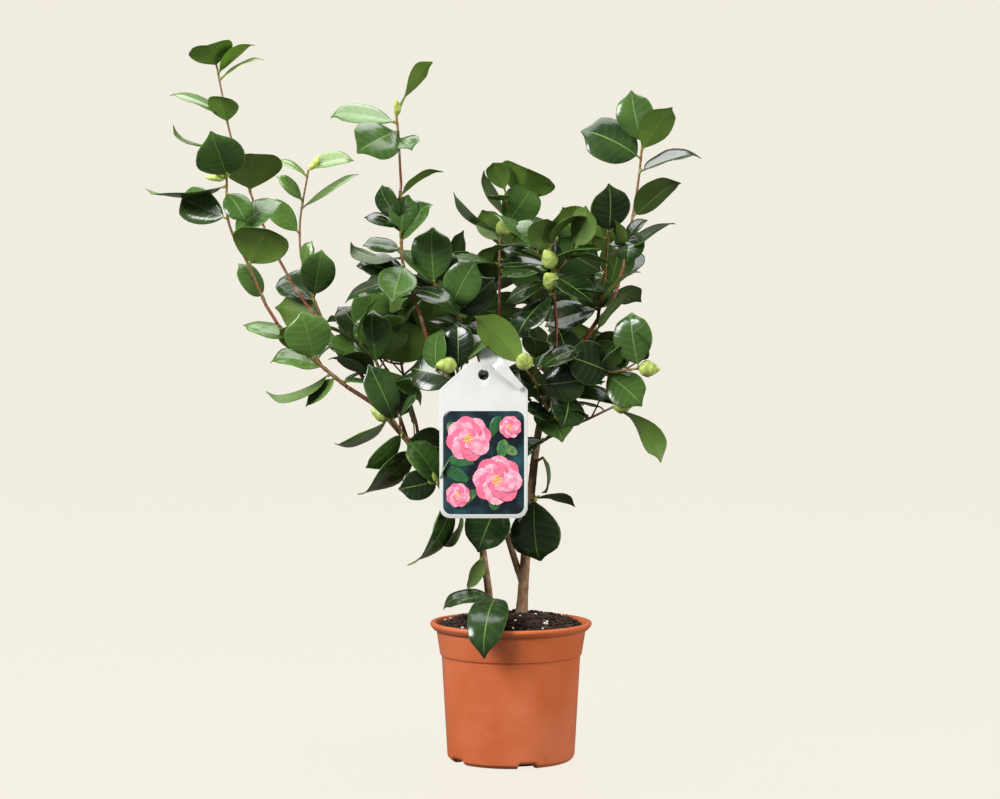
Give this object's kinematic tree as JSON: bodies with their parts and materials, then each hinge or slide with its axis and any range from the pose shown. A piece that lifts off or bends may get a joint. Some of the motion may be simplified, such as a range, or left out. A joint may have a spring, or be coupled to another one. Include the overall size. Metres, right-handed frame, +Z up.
{
  "type": "potted camellia shrub",
  "caption": "Young evergreen camellia shrub with slender forked stems, glossy oval leaves and plump buds, in a round plastic nursery pot with a hang label.",
  "frame": {"origin": "centre of the pot's flat underside, on the surface that it stands on", "axes": "+Z up, -Y towards the front that the label faces, +X to the right seen from the front"},
  "size_m": [0.5314, 0.3227, 0.6998],
  "materials": {
    "pot": "satin terracotta plastic",
    "soil": "moist crumbly compost",
    "label": "white plastic card",
    "bark": "smooth grey-brown bark",
    "foliage": "glossy leaf"
  },
  "bodies": {
    "root": {"pot": "pot", "soil": "soil", "hang_label": "label", "main_stem": "bark", "left_stem": "bark", "centre_stem": "bark", "left_bough": "bark", "left_link": "bark", "upper_left_bough": "bark", "centre_left_bough": "bark", "high_bough": "bark", "high_link": "bark", "centre_bough": "bark", "rear_bough": "bark", "front_bough": "bark", "back_left_bough": "bark", "far_left_bough": "bark", "back_right_bough": "bark", "right_bough": "bark", "right_link": "bark", "centre_right_bough": "bark", "base_leaves": "foliage", "low_stem_leaf": "foliage", "low_centre": "foliage", "low_right": "foliage", "stem_leaf": "foliage", "low_left": "foliage", "mid_left": "foliage", "left_low": "foliage", "left_tip": "foliage", "top_left": "foliage", "inner_left": "foliage", "centre_left": "foliage", "upper_mid": "foliage", "mid_high": "foliage", "top_centre": "foliage", "centre_top": "foliage", "front_right": "foliage", "centre_front": "foliage", "right_inner": "foliage", "right_tip": "foliage", "centre_right": "foliage", "centre_low": "foliage", "right_low": "foliage", "lower_right": "foliage", "back_low": "foliage", "back_far_left": "foliage", "back_left": "foliage", "back_right": "foliage"}
  },
  "joints": []
}
